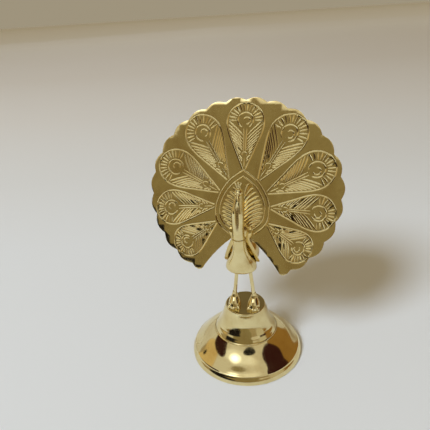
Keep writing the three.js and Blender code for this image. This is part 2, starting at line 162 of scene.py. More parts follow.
def brass(name, colour, dull, gloss, dullest, tarnish_size, scratch_size, bump, turned_on_lathe=False):
    """Polished brass: cloudy tarnish, fine wiping scratches, and turning rings where it was on a lathe."""
    made = bpy.data.materials.new(name)
    made.use_nodes = True
    nodes = made.node_tree.nodes
    shader = nodes["Principled BSDF"]
    shader.inputs["Metallic"].default_value = 1
    place = nodes.new("ShaderNodeTexCoord").outputs["Object"]
    clouds = nodes.new("ShaderNodeTexNoise")
    clouds.inputs["Scale"].default_value = 1 / (tarnish_size * MM)
    clouds.inputs["Detail"].default_value = 5
    clouds.inputs["Roughness"].default_value = 0.62
    link(made, place, clouds.inputs["Vector"])
    shade = nodes.new("ShaderNodeValToRGB")
    shade.color_ramp.elements[0].position = 0.42
    shade.color_ramp.elements[0].color = colour
    shade.color_ramp.elements[1].position = 0.78
    shade.color_ramp.elements[1].color = dull
    link(made, clouds.outputs["Fac"], shade.inputs["Fac"])
    link(made, shade.outputs["Color"], shader.inputs["Base Color"])
    wiped = nodes.new("ShaderNodeMapping")
    wiped.inputs["Scale"].default_value = (1, 1, 0.12)
    wiped.inputs["Rotation"].default_value = (0.5, 0.35, 0)
    link(made, place, wiped.inputs["Vector"])
    scratches = nodes.new("ShaderNodeTexNoise")
    scratches.inputs["Scale"].default_value = 1 / (scratch_size * MM)
    scratches.inputs["Detail"].default_value = 6
    scratches.inputs["Roughness"].default_value = 0.7
    link(made, wiped.outputs["Vector"], scratches.inputs["Vector"])
    both = nodes.new("ShaderNodeMath")
    both.operation = "MULTIPLY"
    link(made, clouds.outputs["Fac"], both.inputs[0])
    link(made, scratches.outputs["Fac"], both.inputs[1])
    rough = nodes.new("ShaderNodeMapRange")
    rough.inputs["From Min"].default_value = 0.12
    rough.inputs["From Max"].default_value = 0.42
    rough.inputs["To Min"].default_value = gloss
    rough.inputs["To Max"].default_value = dullest
    link(made, both.outputs["Value"], rough.inputs["Value"])
    link(made, rough.outputs["Result"], shader.inputs["Roughness"])
    height = scratches.outputs["Fac"]
    if turned_on_lathe:
        parts = nodes.new("ShaderNodeSeparateXYZ")
        link(made, place, parts.inputs["Vector"])
        flat = nodes.new("ShaderNodeCombineXYZ")
        link(made, parts.outputs["X"], flat.inputs["X"])
        link(made, parts.outputs["Y"], flat.inputs["Y"])
        from_axis = nodes.new("ShaderNodeVectorMath")
        from_axis.operation = "LENGTH"
        link(made, flat.outputs["Vector"], from_axis.inputs[0])
        across = nodes.new("ShaderNodeCombineXYZ")
        link(made, from_axis.outputs["Value"], across.inputs["X"])
        link(made, parts.outputs["Z"], across.inputs["Y"])
        rings = nodes.new("ShaderNodeTexNoise")
        rings.inputs["Scale"].default_value = 1 / (TURNING_MARK * MM)
        rings.inputs["Detail"].default_value = 4
        link(made, across.outputs["Vector"], rings.inputs["Vector"])
        mixed = nodes.new("ShaderNodeMath")
        mixed.operation = "ADD"
        link(made, rings.outputs["Fac"], mixed.inputs[0])
        link(made, scratches.outputs["Fac"], mixed.inputs[1])
        height = mixed.outputs["Value"]
    relief = nodes.new("ShaderNodeBump")
    relief.inputs["Strength"].default_value = bump
    relief.inputs["Distance"].default_value = 0.02 * MM
    link(made, height, relief.inputs["Height"])
    link(made, relief.outputs["Normal"], shader.inputs["Normal"])
    return made


def base_outside():
    """Radius and height up the outside: foot band, dome, two grooves, flared neck, top."""
    line = [(BASE_RADIUS - FOOT_BEVEL, 0), (BASE_RADIUS, FOOT_BEVEL)]
    band_radius, band_height = FOOT_BAND_TOP
    for i in range(1, 9):
        t = i / 9
        bulge = BAND_BULGE * math.sin(math.pi * t)
        radius = BASE_RADIUS + (band_radius - BASE_RADIUS) * t ** 1.15 + bulge
        line.append((radius, FOOT_BEVEL + (band_height - 0.6) * t))
    line += [(band_radius + 0.1, band_height - 0.12), (band_radius - 0.12, band_height)]
    rise, run = GROOVE_PLACE[1] - band_height, band_radius - GROOVE_PLACE[0]
    for i in range(1, DOME_STEPS):
        t = i / DOME_STEPS
        flare = DOME_FLARE * t / FLARE_WIDTH * math.exp(-t / FLARE_WIDTH)
        crown = DOME_CROWN * math.sin(math.pi * t) - flare
        line.append((band_radius - run * t + crown * rise / run, band_height + rise * t + crown))
    line += groove(line[-1], (-0.80, 0.60))
    band_end = (GROOVE_PLACE[0] - 0.05, GROOVE_PLACE[1] + 0.2)
    last = line[-1]
    for t in (0.3, 0.7, 1):
        lift = 0.06 * math.sin(math.pi * t)
        radius = last[0] + (band_end[0] - last[0]) * t
        line.append((radius + lift * 0.6, last[1] + (band_end[1] - last[1]) * t + lift))
    line += groove(line[-1], (-0.55, 0.83))
    line += [point for point in bell_neck() if point[1] > line[-1][1] + 0.1]
    for i in range(1, 6):
        turn = math.pi / 2 * i / 5
        radius = TOP_RADIUS - TOP_EDGE + TOP_EDGE * math.cos(turn)
        line.append((radius, BASE_HEIGHT - TOP_EDGE + TOP_EDGE * math.sin(turn)))
    return line


def bell_neck():
    """Above the grooves the wall turns up at a crease, and steepens in a hollow curve to the top plate."""
    line = []
    for (low, z_low), (high, z_high) in zip(BELL_NECK, BELL_NECK[1:]):
        line += [(low + (high - low) * i / 4, z_low + (z_high - z_low) * i / 4) for i in range(4)]
    line.append(BELL_NECK[-1])
    for _ in range(3):
        inner = [((a[0] + b[0] * 2 + c[0]) / 4, b[1]) for a, b, c in zip(line, line[1:], line[2:])]
        line = [line[0]] + inner + [line[-1]]
    return line


def groove(start, along):
    """A turned V groove that starts at a point of the profile and runs along a direction."""
    (radius, height), (out, up) = start, along
    line = []
    for far, deep in ((0.05, 0.03), (0.2, 1), (0.35, 0.03), (0.4, 0)):
        line.append((
            radius + out * far - up * GROOVE_DEPTH * deep,
            height + up * far + out * GROOVE_DEPTH * deep,
        ))
    return line


outside = base_outside()
walls = [(r, z) for r, z in outside if FOOT_BAND_TOP[1] < z < TOP_PLATE_UNDER - WALL]
inside = [(r - WALL * 1.25, max(z - WALL * 0.5, WALL)) for r, z in walls]
inside = inside[::3][::-1]
corner = inside[0][0]
profile = [(AXIS, TOP_PLATE_UNDER), (corner - 0.8, TOP_PLATE_UNDER), (corner, TOP_PLATE_UNDER - 0.8)]
profile += inside + [(BASE_RADIUS - 2.2, 0.3), (BASE_RADIUS - 1.9, 0)] + outside
profile += [(TOP_RADIUS - 3, BASE_HEIGHT), (AXIS, BASE_HEIGHT)]
base = skin_over_rings("bell_base", [(0, 0, z, r, r, 0) for r, z in profile], BASE_SIDES)
mirror_brass = brass(
    "mirror_brass", BRASS, DULL_BRASS,
    gloss=0.035, dullest=0.15, tarnish_size=14, scratch_size=1.2, bump=0.12, turned_on_lathe=True,
)
smooth(base, 24)
finished(base, mirror_brass, "polished_brass", "base_bell")


# --- The legs: two brass rods, threaded below, that pass through feet and top plate up into the body. ---
# Each is drawn in a little towards the hip. A washer and a nut under the top plate hold it.
LEG_Y = -2
FOOT_SPREAD = 5.6
HIP_SPREAD = 3.9
LEG_BOTTOM = 27
LEG_TOP = 67.2
THREAD_TOP = 30.8
THREAD_PITCH = 0.5
THREAD_CREST = 1.08
THREAD_ROOT = 0.93
SHANK = 1.08
ROD_SIDES = 28


def leg_centre(height):
    """How far from the middle the leg stands at this height."""
    t = min(1, max(0, (height - 38) / (61 - 38)))
    return FOOT_SPREAD + (HIP_SPREAD - FOOT_SPREAD) * t * t * (3 - 2 * t)


drawn_brass = brass(
    "drawn_brass", BRASS, DULL_BRASS,
    gloss=0.05, dullest=0.2, tarnish_size=6, scratch_size=0.5, bump=0.2,
)
leg_rings = [(LEG_BOTTOM, AXIS), (LEG_BOTTOM, 0.8)]
height = LEG_BOTTOM + 0.2
while height < THREAD_TOP:
    leg_rings += [(height, THREAD_CREST), (height + THREAD_PITCH / 2, THREAD_ROOT)]
    height += THREAD_PITCH
leg_rings += [(31, 1.1), (34, 1.1), (38, 1.22), (40, 1.16)]
leg_rings += [(z, SHANK) for z in range(43, 60, 2)]
leg_rings += [(61, 1.12), (63, 1.16), (LEG_TOP, 1.16), (LEG_TOP, AXIS)]
for name, side in (("left", 1), ("right", -1)):
    rings = [(side * leg_centre(z), LEG_Y, z, r, r, 0) for z, r in leg_rings]
    leg = skin_over_rings("leg_rod_" + name, rings, ROD_SIDES)
    smooth(leg, 40)
    finished(leg, drawn_brass, "polished_brass", "leg_" + name)


# --- The feet: cast brass, with a long domed ankle, three toes spread forward, and a knobbed spur behind. ---
# They stand on the top plate, and the leg rods run down through them.
ANKLE = (
    (-0.6, 3.4), (0.2, 3.65), (1.6, 3.75), (3.2, 3.5), (4.8, 2.85),
    (6.4, 2.1), (7.8, 1.55), (9.0, 1.25), (9.6, 1.15),
)
ANKLE_ASIDE = 0.2
ANKLE_SIDES = 32
ANKLE_FORWARD = 2.1
ANKLE_LENGTH = 1.12
TOE_SPREAD = 0.55
TOE_REACH = 6.6
SPUR_BACK = 4.1
SPUR_RISE = 3.5
TOE = ((1.2, 1.3, 1.3), (3.6, 1.15, 1.15), (4.8, 1.05, 1.2), (5.7, 0.7, 0.9), (TOE_REACH - 0.5, 0.35, 0.5))
FOOT_GRAIN = 0.17


def finger(name, path):
    """A tapering round finger along a path of x, y, z, radius."""
    put_down_everything()
    beads = [(Vector(path[0][:3]), path[0][3])]
    for (x, y, z, r), (x2, y2, z2, r2) in zip(path, path[1:]):
        near, far = Vector((x, y, z)), Vector((x2, y2, z2))
        steps = max(2, int((far - near).length / (0.35 * min(r, r2))))
        beads += [(near.lerp(far, i / steps), r + (r2 - r) * (i / steps)) for i in range(1, steps + 1)]
    knots = []
    for place, radius in beads:
        bpy.ops.mesh.primitive_uv_sphere_add(
            segments=14, ring_count=10, radius=radius * MM, location=place * MM,
        )
        knots.append(bpy.context.object)
    take_up(*knots)
    bpy.ops.object.join()
    made = bpy.context.object
    made.name = name
    return made


def cast_together(name, lumps, grain, rounds):
    """Lumps run into one casting: a single skin, with its inner corners filled and softened."""
    take_up(*lumps)
    bpy.ops.object.join()
    casting = bpy.context.object
    casting.name = name
    finish_with(casting, "REMESH", mode="VOXEL", voxel_size=grain * MM)
    finish_with(casting, "SMOOTH", factor=0.5, iterations=rounds)
    return casting


def flatten_below(piece, height):
    """Cuts the piece off level, and closes the cut."""
    take_up(piece)
    bpy.ops.object.mode_set(mode="EDIT")
    bpy.ops.mesh.select_all(action="SELECT")
    bpy.ops.mesh.bisect(plane_co=(0, 0, height * MM), plane_no=(0, 0, 1), clear_inner=True, use_fill=True)
    bpy.ops.object.mode_set(mode="OBJECT")


CAST_FINISH = {"gloss": 0.05, "dullest": 0.2, "tarnish_size": 7, "scratch_size": 0.8, "bump": 0.16}
cast_brass = brass("cast_brass", BRASS, DULL_BRASS, **CAST_FINISH)
for name, side in (("left", 1), ("right", -1)):
    x = side * (FOOT_SPREAD + ANKLE_ASIDE)
    rings = []
    for z, r in ANKLE:
        forward = ANKLE_FORWARD * max(0, 1 - z / 7)
        rings.append((x, LEG_Y - forward, BASE_HEIGHT + z, r, r * (ANKLE_LENGTH if z < 6 else 1), 0))
    lumps = [skin_over_rings("ankle", rings, ANKLE_SIDES)]
    for heading in (-TOE_SPREAD, 0, TOE_SPREAD):
        aim = Vector((math.sin(heading), -math.cos(heading), 0))
        path = [(x + aim.x * far, LEG_Y + aim.y * far, BASE_HEIGHT + z, r) for far, z, r in TOE]
        lumps.append(finger("toe", path))
    spur = [
        (x, LEG_Y + 1, BASE_HEIGHT + 1.2, 1.1),
        (x + side * 0.5, LEG_Y + 2.9, BASE_HEIGHT + 2.6, 0.85),
        (x + side * 0.8, LEG_Y + SPUR_BACK, BASE_HEIGHT + SPUR_RISE, 1.1),
    ]
    lumps.append(finger("spur", spur))
    foot = cast_together("foot_casting_" + name, lumps, FOOT_GRAIN, 6)
    flatten_below(foot, BASE_HEIGHT + 0.02)
    smooth(foot, 50)
    finished(foot, cast_brass, "polished_brass", "foot_" + name)


# --- The washers and nuts: plain turned and hexagonal brass, dull, inside the hollow base. ---
# They clamp the leg rods up against the top plate.
PLAIN_BRASS = (0.62, 0.45, 0.18, 1)
PLAIN_DULL = (0.36, 0.24, 0.09, 1)
plain_brass = brass(
    "plain_brass", PLAIN_BRASS, PLAIN_DULL,
    gloss=0.22, dullest=0.5, tarnish_size=3, scratch_size=0.35, bump=0.5,
)


def leave_plain(*nodes):
    for node in nodes:
        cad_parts[node].data.materials.clear()
        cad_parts[node].data.materials.append(plain_brass)


leave_plain("leg_washer_left", "leg_washer_right", "leg_nut_left", "leg_nut_right")


# --- The body: one casting, with a flared chest, a rounded rump and the hump that carries the tail. ---
# The leg rods end inside it, and the neck is set into its top.
BODY_BOTTOM = 62.4
NECK_SEAT_Y = -11.9
CHEST = (
    (-7.6, 62.4, 7.7, 6.3),
    (-7.65, 62.6, 8.2, 6.8),
    (-7.75, 63.2, 8.6, 7.25),
    (-7.9, 64.2, 8.75, 7.5),
    (-8.1, 66.0, 8.5, 7.5),
    (-8.5, 68.2, 7.5, 7.0),
    (-9.0, 70.6, 6.1, 6.3),
    (-9.6, 73.3, 4.9, 5.6),
    (-10.2, 76.0, 4.1, 4.9),
    (-10.8, 78.6, 3.65, 4.4),
    (-11.3, 80.8, 3.5, 4.0),
    (-11.7, 82.5, 3.45, 3.7),
    (-11.9, 83.8, 3.45, 3.5),
)
RUMP = ((0, 0.4, 68.8), (7.2, 10.5, 7.0))
HUMP = ((0, -6.9, 85.8), (4.6, 4.3, 4.6))
TAIL_LEAN = math.radians(23)
TAIL_SCREW = (0, -2.5, 85.6)
SEAT_GAP = 0.3
BODY_GRAIN = 0.32
SHEET = 1.1


def lump(name, centre, halves, segments=40):
    """A rounded lump of the wax, from a ball pressed to its size."""
    put_down_everything()
    middle = Vector(centre) * MM
    bpy.ops.mesh.primitive_uv_sphere_add(
        segments=segments, ring_count=segments // 2, radius=MM, location=middle,
    )
    made = bpy.context.object
    made.name = name
    bpy.ops.object.mode_set(mode="EDIT")
    bpy.ops.mesh.select_all(action="SELECT")
    bpy.ops.transform.resize(value=halves, center_override=middle)
    bpy.ops.object.mode_set(mode="OBJECT")
    return made


def plane_of_tail(offset):
    """A point and the backward normal of a plane parallel to the tail sheet."""
    back = Vector((0, math.cos(TAIL_LEAN), -math.sin(TAIL_LEAN)))
    return Vector(TAIL_SCREW) * MM + back * offset * MM, back


def body_wax(grow, rings):
    """The lumps of the body, all grown alike, with the chest over these rings."""
    chest = skin_over_rings("chest", [(0, y, z, w + grow, d + grow, 0) for y, z, w, d in rings], 64)
    rump = lump("rump", RUMP[0], [half + grow for half in RUMP[1]])
    hump = lump("hump", HUMP[0], [half + grow for half in HUMP[1]])
    take_up(hump)
    bpy.ops.object.mode_set(mode="EDIT")
    bpy.ops.mesh.select_all(action="SELECT")
    point, back = plane_of_tail(-SHEET / 2 - SEAT_GAP)
    bpy.ops.mesh.bisect(plane_co=point, plane_no=back, clear_outer=True, use_fill=True)
    bpy.ops.object.mode_set(mode="OBJECT")
    return [chest, rump, hump]


body = cast_together("body_casting", body_wax(0, CHEST), BODY_GRAIN, 10)
flatten_below(body, BODY_BOTTOM + 0.05)
smooth(body, 55)
finished(body, cast_brass, "polished_brass", "body")


# --- The neck and head: one brass casting, hollowed down its front, with round eyes and a drooped beak. ---
# A tenon below sets it into the chest. Down the middle of the hollow the metal is painted brown, a painted
# shade.
NECK = (
    (0, -11.9, 84.0, 3.4, 3.45, 0),
    (0, -12.1, 85.2, 3.35, 3.4, 0),
    (0, -12.4, 88.0, 3.2, 3.3, -0.01),
    (0, -12.6, 91.0, 3.2, 3.25, -0.02),
    (0, -12.75, 94.0, 3.35, 3.15, 0.02),
    (0, -12.8, 97.0, 3.4, 3.0, 0.05),
    (0, -12.7, 99.6, 3.2, 2.8, 0.1),
    (0.05, -12.5, 101.0, 2.95, 2.6, 0.14),
    (0.15, -12.2, 102.2, 2.7, 2.45, 0.18),
    (0.3, -11.7, 104.0, 2.4, 2.3, 0.26),
    (0.45, -10.9, 106.2, 2.1, 2.15, 0.33),
    (0.5, -10.3, 108.4, 1.9, 1.95, 0.35),
)
HEAD = ((0.5, -10.3, 109.4), (2.2, 2.9, 2.3))
BEAK = (
    (0.6, -12.2, 109.0, 1.25), (0.7, -13.6, 108.5, 0.95), (0.8, -14.8, 107.7, 0.6), (0.85, -15.5, 106.9, 0.3),
)
EYE = (0.42, 0.6, 0.6)
EYE_ASIDE = 1.9
THROAT_DEPTH = 2.1
THROAT_WIDTH = 1.25
THROAT_ENDS = (87.0, 104.0)
THROAT_FRONT = -12.6
NECK_GRAIN = 0.18
# The brown of the painted shade down the hollow of the neck.
THROAT_PAINTED_SHADE = (0.36, 0.26, 0.12, 1)


def press_throat(piece):
    """Presses the hollow down the front of the neck, point by point."""
    for point in piece.data.vertices:
        x, y, z = point.co / MM
        if y > THROAT_FRONT or not THROAT_ENDS[0] < z < THROAT_ENDS[1]:
            continue
        share = (z - THROAT_ENDS[0]) / (THROAT_ENDS[1] - THROAT_ENDS[0])
        fade = math.sin(math.pi * share ** 1.6) ** 0.6
        point.co.y += THROAT_DEPTH * fade * math.exp(-2 * (x / THROAT_WIDTH) ** 2) * MM


def paint_shade(material, share, colour):
    """Paints shade: turns the metal's own colour to this one, by a share from another node."""
    shader = material.node_tree.nodes["Principled BSDF"]
    old = shader.inputs["Base Color"].links[0].from_socket
    mix = material.node_tree.nodes.new("ShaderNodeMix")
    mix.data_type = "RGBA"
    mix.inputs[7].default_value = colour
    link(material, share, mix.inputs["Factor"])
    link(material, old, mix.inputs[6])
    link(material, mix.outputs[2], shader.inputs["Base Color"])


def paint_shade_in_throat(material):
    """The painted shade is whole in the middle of the hollow, and fades to its sides and ends."""
    nodes = material.node_tree.nodes
    parts = nodes.new("ShaderNodeSeparateXYZ")
    link(material, nodes["Texture Coordinate"].outputs["Object"], parts.inputs["Vector"])
    aside = nodes.new("ShaderNodeMath")
    aside.operation = "ABSOLUTE"
    link(material, parts.outputs["X"], aside.inputs[0])
    low, high = THROAT_ENDS
    share = None
    for source, full, none in (
        (aside.outputs["Value"], 0.3, 1.0),
        (parts.outputs["Y"], -13.6, -12.9),
        (parts.outputs["Z"], low + 4.5, low + 1.5),
        (parts.outputs["Z"], high - 2.5, high),
    ):
        fade = nodes.new("ShaderNodeMapRange")
        fade.interpolation_type = "SMOOTHSTEP"
        fade.inputs["From Min"].default_value = full * MM
        fade.inputs["From Max"].default_value = none * MM
        fade.inputs["To Min"].default_value = 1
        fade.inputs["To Max"].default_value = 0
        link(material, source, fade.inputs["Value"])
        if share:
            both = nodes.new("ShaderNodeMath")
            both.operation = "MULTIPLY"
            link(material, share, both.inputs[0])
            link(material, fade.outputs["Result"], both.inputs[1])
            share = both.outputs["Value"]
        else:
            share = fade.outputs["Result"]
    paint_shade(material, share, THROAT_PAINTED_SHADE)


neck = skin_over_rings("neck", NECK, 72)
head = lump("head", *HEAD)
beak = finger("beak", BEAK)
tenon = skin_over_rings("tenon", [(0, NECK_SEAT_Y, z, 1.6, 1.6, 0) for z in (81, 81.4, 84.5)], 24)
press_throat(neck)
neck_head = cast_together("neck_and_head", [neck, head, beak, tenon], NECK_GRAIN, 7)
eyes = [lump("eye", (HEAD[0][0] + side * EYE_ASIDE, -11.2, 109.8), EYE, 20) for side in (-1, 1)]
take_up(neck_head, *eyes)
bpy.ops.object.join()
smooth(neck_head, 55)
throat_brass = brass("neck_brass", BRASS, DULL_BRASS, **CAST_FINISH)
# The neck's metal gets the painted shade in its hollow.
paint_shade_in_throat(throat_brass)
finished(neck_head, throat_brass, "polished_brass", "neck_head")


# --- The crest: three knobbed plumes on one root, cast in brass. ---
# The root is soldered into the top of the head.
CREST_FOOT = (0.4, -10.2, 111.2)
CREST_FAN = 0.42
PLUME = ((0, 0.5), (1.5, 0.3), (2.9, 0.3), (3.6, 0.6))
CREST_GRAIN = 0.11
plumes = []
for lean in (-CREST_FAN, 0, CREST_FAN):
    path = []
    for far, r in PLUME:
        x, y, z = CREST_FOOT
        path.append((x + math.sin(lean) * far, y + 0.1 * far, z + far * math.cos(lean), r))
    plumes.append(finger("plume", path))
plumes.append(lump("root", CREST_FOOT, (0.8, 0.8, 1.0), 20))
crest = cast_together("crest_plumes", plumes, CREST_GRAIN, 4)
smooth(crest, 60)
finished(crest, cast_brass, "polished_brass", "crest")


# --- The wings: two thin leaf-shaped plates, curved to the body's sides and soldered on. ---
# Each runs from a round shoulder beside the neck down to a tip over the rump.
WING = 1.5
FLANKS = (
    (-7.6, 62.4, 8.0, 6.6), (-7.8, 63.7, 8.8, 7.5), (-8.1, 66.3, 8.9, 7.7), (-9.0, 71.0, 7.5, 6.4),
    (-10.2, 76.4, 6.0, 5.0), (-11.3, 80.8, 4.9, 4.1), (-11.9, 84.0, 4.3, 3.6),
)
WING_POINTS = (
    (-5.8, 87.4), (-6.9, 86.0), (-7.6, 83.0), (-7.7, 79.0), (-7.5, 74.0), (-6.9, 69.5),
    (-5.2, 65.8), (-2.4, 63.9), (1.5, 64.6), (4.2, 67.0), (5.0, 70.5), (3.8, 75.0),
    (1.2, 79.6), (-1.4, 83.6), (-2.8, 86.2), (-4.3, 87.5),
)
WING_INNER = 2.8
WING_REACH = 15
INTO_BODY = 0.2
SHELL_GRAIN = 0.42
WING_GRAIN = 0.22


def draw_outline(name, points):
    """A closed line drawn point by point, then filled as one face."""
    put_down_everything()
    bpy.ops.mesh.primitive_plane_add(size=MM, location=points[0])
    drawn = bpy.context.object
    drawn.name = name
    bpy.ops.object.mode_set(mode="EDIT")
    bpy.ops.mesh.select_mode(type="VERT")
    bpy.ops.mesh.select_all(action="SELECT")
    bpy.ops.mesh.merge(type="CENTER")
    for here, there in zip(points, points[1:] + points[:1]):
        bpy.ops.mesh.extrude_region_move(TRANSFORM_OT_translate={"value": there - here})
    bpy.ops.mesh.select_all(action="SELECT")
    bpy.ops.mesh.remove_doubles(threshold=0.001 * MM)
    bpy.ops.mesh.edge_face_add()
    bpy.ops.object.mode_set(mode="OBJECT")
    return drawn


def rounded(points, rounds):
    """Corners cut again and again, which leaves a smooth closed line."""
    for _ in range(rounds):
        cut = []
        for here, there in zip(points, points[1:] + points[:1]):
            cut += [here.lerp(there, 0.25), here.lerp(there, 0.75)]
        points = cut
    return points


def cut_with(piece, operation, tool):
    """Joins, cuts or keeps the piece with a tool, which is then thrown away."""
    finish_with(piece, "BOOLEAN", operation=operation, object=tool, solver="MANIFOLD")
    bpy.data.objects.remove(tool)


WING_BRASS = (0.74, 0.58, 0.25, 1)
wing_brass = brass(
    "wing_brass", WING_BRASS, DULL_BRASS,
    gloss=0.06, dullest=0.24, tarnish_size=5, scratch_size=0.7, bump=0.2,
)
for name, side in (("left", 1), ("right", -1)):
    wing = cast_together("wing_plate_" + name, body_wax(SEAT_GAP + WING, FLANKS), SHELL_GRAIN, 12)
    inner = cast_together("inner", body_wax(-INTO_BODY, FLANKS), SHELL_GRAIN, 12)
    cut_with(wing, "DIFFERENCE", inner)
    leaf = draw_outline("leaf", rounded([Vector((side * WING_INNER, y, z)) * MM for y, z in WING_POINTS], 3))
    take_up(leaf)
    bpy.ops.object.mode_set(mode="EDIT")
    bpy.ops.mesh.select_all(action="SELECT")
    bpy.ops.mesh.extrude_region_move(TRANSFORM_OT_translate={"value": (side * WING_REACH * MM, 0, 0)})
    bpy.ops.mesh.select_all(action="SELECT")
    bpy.ops.mesh.normals_make_consistent(inside=False)
    bpy.ops.object.mode_set(mode="OBJECT")
    cut_with(wing, "INTERSECT", leaf)
    finish_with(wing, "REMESH", mode="VOXEL", voxel_size=WING_GRAIN * MM)
    finish_with(wing, "SMOOTH", factor=0.5, iterations=5)
    smooth(wing, 60)
    finished(wing, wing_brass, "polished_brass", "wing_" + name)


# --- The tail: one stamped brass sheet with a scalloped edge, chased on its front, leaning back. ---
# Nine feathers with eyes stand round a ribbed, leaf-shaped middle. The notch below straddles the body,
# and one screw from behind holds the sheet to the body's hump.
TAIL_HALF_WIDTH = 53.7
TAIL_HALF_HEIGHT = 50.8
TAIL_CENTRE = 20.1
SCALLOPS = 27
SCALLOPS_PER_SIDE = 11
SCALLOP_DEPTH = 1.7
NOTCH_TOP = (5.4, -6.2)
NOTCH_BOW = 1
TIP_ROUND = 2.4
FEATHER_FOCUS = (0, 12.4)
FEATHER_TURN = math.radians(31.4)
# For each feather from the middle one outwards: where it starts, how far out its eye is, how broad it is.
FEATHERS = ((19.4, 46.0, 1.0), (16.2, 45.7, 1.0), (15.0, 43.8, 0.98), (15.6, 40.9, 0.95), (17.6, 38.0, 0.86))
FEATHER_SIDE = (
    (19.0, 0.7), (22.0, 2.0), (26.0, 3.7), (31.0, 5.8), (36.0, 8.0), (40.0, 9.5), (44.0, 10.3),
    (47.6, 10.0), (50.6, 8.7), (53.2, 6.4), (55.0, 3.2), (55.4, 0.0),
)
EYE_OUT = 46.0
EYE_RADIUS = 4.2
BARB_STEP = 2.1
SPADE = (
    (0, 31.3), (2.6, 29.6), (6.1, 27.0), (8.8, 24.2), (10.9, 21.2),
    (13.4, 16.4), (14.9, 10.7), (14.6, 4.6), (11.9, 0.2), (6.8, -3.6),
)
SPADE_MIDDLE = 9.0
RIBS = 15
RIB_STEP = 2.0
RIB_LOW = -6.5
RIB_ASIDE = 1.2
RIB_REACH = 0.76
EDGE_BEVEL = 0.42
# The flat is divided into small cells, off the middle lines, so that no face is too large to cut cleanly.
CELL = 3.7
CELLS_ACROSS = range(-14, 15)
CELLS_UP = range(-8, 20)
CELL_SHIFT = (0.13, -0.17)
# How far each kind of stroke reaches to either side of its line.
OUTLINE_STROKE = 0.42
QUILL_STROKE = 0.32
LOOP_STROKE = 0.34
ROOT_STROKE = 0.30
BARB_STROKE = 0.5
SPADE_STROKES = (0.5, 0.45)
RIB_STROKE = 0.75
FEATHER_TOOL = 0.6
MIDDLE_TOOL = 0.75
TOOL_LIFT = 0.03
THIN_END = 0.55
LOOP_OUT = 27.2
LOOP_RADIUS = 1.35
LOOP_CLEAR = 2.3
QUILL_GAP = 1.25
OUTLINE_GAP = 0.85
BARBS = (22.6, 46.5)
BARB_LEAN = 0.95
RAY_STEP = 14
RAY_START = EYE_RADIUS + 1.0


def on_edge(turns):
    """A point on the scalloped edge, where turns counts scallops from the top, below nought to the left."""
    angle = math.pi / 2 - turns * math.tau / SCALLOPS
    oval = 1 / math.hypot(math.cos(angle) / TAIL_HALF_WIDTH, math.sin(angle) / TAIL_HALF_HEIGHT)
    radius = oval - SCALLOP_DEPTH * (1 - abs(math.sin(math.pi * turns)))
    return Vector((radius * math.cos(angle), TAIL_CENTRE + radius * math.sin(angle), 0))


def bent(start, middle, end, steps):
    """Points on a curve that leaves start and reaches end, drawn towards middle."""
    line = []
    for i in range(1, steps + 1):
        t = i / steps
        line.append(start * (1 - t) ** 2 + middle * 2 * t * (1 - t) + end * t * t)
    return line


def half_outline():
    """The right half of the sheet's outline, from the top scallop round to the notch."""
    per_scallop = 10
    line = [on_edge(i / per_scallop) for i in range(SCALLOPS_PER_SIDE * per_scallop + 3)]
    tip = on_edge(SCALLOPS_PER_SIDE + 0.5)
    top = Vector((*NOTCH_TOP, 0))
    run = top - tip
    start = tip + run.normalized() * TIP_ROUND
    outward = Vector((run.y, -run.x, 0)).normalized()
    line += bent(line[-1], tip, start, 8)
    line += bent(start, (start + top) / 2 + outward * 2 * NOTCH_BOW, top, 10)
    return line


def mirrored(line):
    return [Vector((-p.x, p.y, p.z)) for p in line]


right_edge = half_outline()
outline = right_edge + mirrored(right_edge)[:0:-1]
tail = draw_outline("tail_sheet", [(p + Vector((0, 0, -SHEET / 2))) * MM for p in outline])
take_up(tail)
bpy.ops.object.mode_set(mode="EDIT")
for across in CELLS_ACROSS:
    bpy.ops.mesh.select_all(action="SELECT")
    bpy.ops.mesh.bisect(plane_co=((across * CELL + CELL_SHIFT[0]) * MM, 0, 0), plane_no=(1, 0, 0))
for up in CELLS_UP:
    bpy.ops.mesh.select_all(action="SELECT")
    bpy.ops.mesh.bisect(plane_co=(0, (up * CELL + CELL_SHIFT[1]) * MM, 0), plane_no=(0, 1, 0))
bpy.ops.mesh.select_all(action="SELECT")
bpy.ops.mesh.extrude_region_move(TRANSFORM_OT_translate={"value": (0, 0, SHEET * MM)})
bpy.ops.mesh.select_all(action="SELECT")
bpy.ops.mesh.normals_make_consistent(inside=False)
bpy.ops.object.mode_set(mode="OBJECT")
finish_with(
    tail, "BEVEL", width=EDGE_BEVEL * MM, segments=3, limit_method="ANGLE", angle_limit=math.radians(60),
)


def feather_point(number, side, out, across):
    """A place on the sheet from a place on a feather: out from the focus, and across its quill."""
    start, eye, breadth = FEATHERS[number]
    out = start + (out - FEATHER_SIDE[0][0]) * (eye - start) / (EYE_OUT - FEATHER_SIDE[0][0])
    turn = FEATHER_TURN * number * side
    across *= breadth
    x = FEATHER_FOCUS[0] + out * math.sin(turn) + across * math.cos(turn)
    y = FEATHER_FOCUS[1] + out * math.cos(turn) - across * math.sin(turn)
    return Vector((x, y, 0))


def half_breadth(out):
    """How far the feather's outline stands from its quill."""
    for (a, wide_a), (b, wide_b) in zip(FEATHER_SIDE, FEATHER_SIDE[1:]):
        if a <= out <= b:
            return wide_a + (wide_b - wide_a) * (out - a) / (b - a)
    return 0


def arc(out, across, radius, first, last, steps):
    """An arc on a feather, its angles in degrees from straight out along the quill."""
    turns = [math.radians(first + (last - first) * i / steps) for i in range(steps + 1)]
    return [(out + radius * math.cos(t), across + radius * math.sin(t)) for t in turns]


def softened(line, rounds):
    """An open line with its corners cut, its ends kept."""
    for _ in range(rounds):
        cut = [line[0]]
        for (a, b), (c, d) in zip(line, line[1:]):
            cut += [(a * 0.75 + c * 0.25, b * 0.75 + d * 0.25), (a * 0.25 + c * 0.75, b * 0.25 + d * 0.75)]
        line = cut + [line[-1]]
    return line


